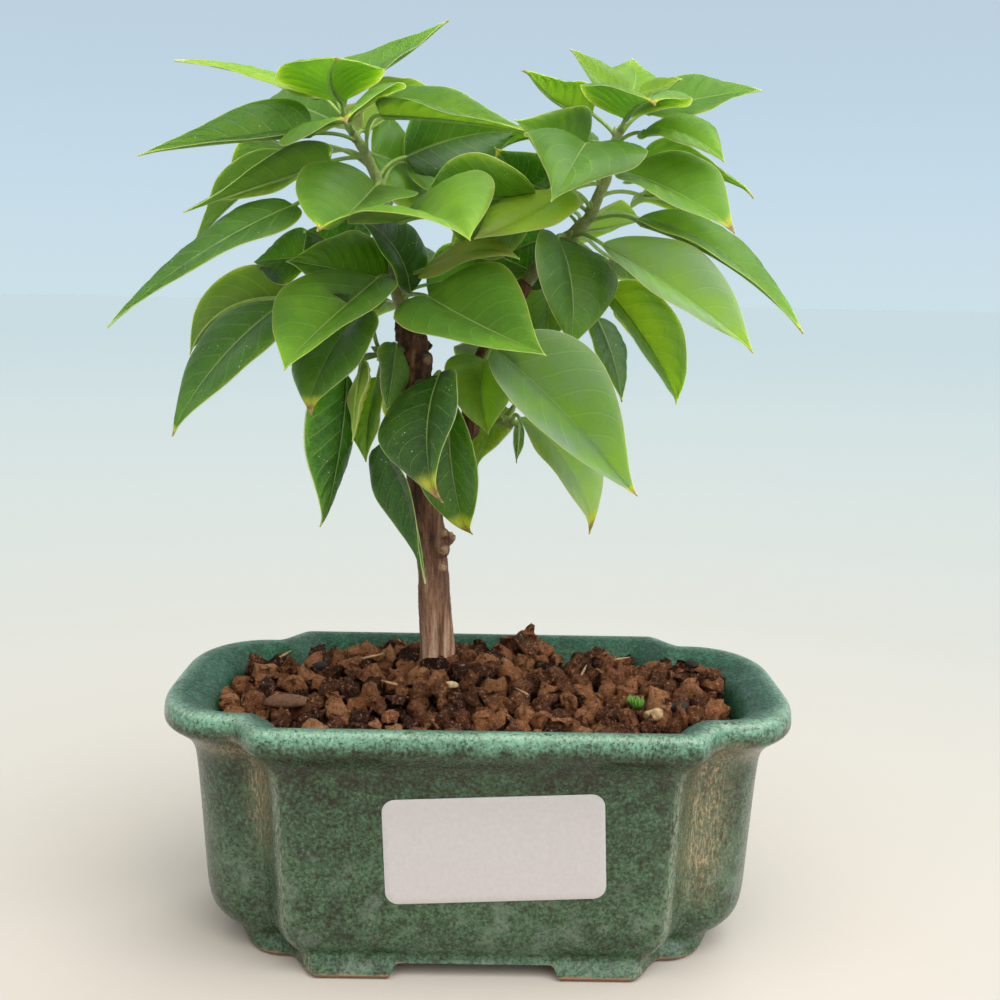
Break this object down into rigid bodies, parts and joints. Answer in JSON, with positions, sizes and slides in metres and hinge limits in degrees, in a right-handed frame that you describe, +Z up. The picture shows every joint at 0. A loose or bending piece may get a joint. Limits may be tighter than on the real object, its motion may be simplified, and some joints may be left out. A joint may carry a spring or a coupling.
{
  "type": "potted bougainvillea bonsai",
  "caption": "Small bougainvillea bonsai: forked woody trunk with a dense crown of pointed green leaves, in clay granules in a green-glazed oblong footed pot.",
  "frame": {"origin": "on the ground, under the middle of the whole outline, crown and pot together; the middle of the pot is 5 mm to its right and 11.2 mm in front of it", "axes": "+Z up, +X to the right along the pot's long side, +Y from the pot's labelled front to its back"},
  "size_m": [0.1609, 0.1224, 0.2254],
  "materials": {
    "green_glaze": "glossy mottled green glaze",
    "black_plastic": "matt black mesh",
    "clay_granules": "rough porous red-brown granules",
    "bark": "rough brown bark",
    "leaf_green": "semi-gloss green leaf",
    "white_paper": "blank white paper label"
  },
  "bodies": {
    "root": {"pot": "green_glaze", "drain_screen_left": "black_plastic", "drain_screen_right": "black_plastic", "soil": "clay_granules", "trunk": "bark", "shoot_left": "leaf_green", "shoot_right": "leaf_green", "spray_low_left": "leaf_green", "spray_low_front": "leaf_green", "spray_low_back": "leaf_green", "spray_limb_front": "leaf_green", "spray_limb_back": "leaf_green", "spray_limb_low": "leaf_green", "blank_label": "white_paper"}
  },
  "joints": []
}
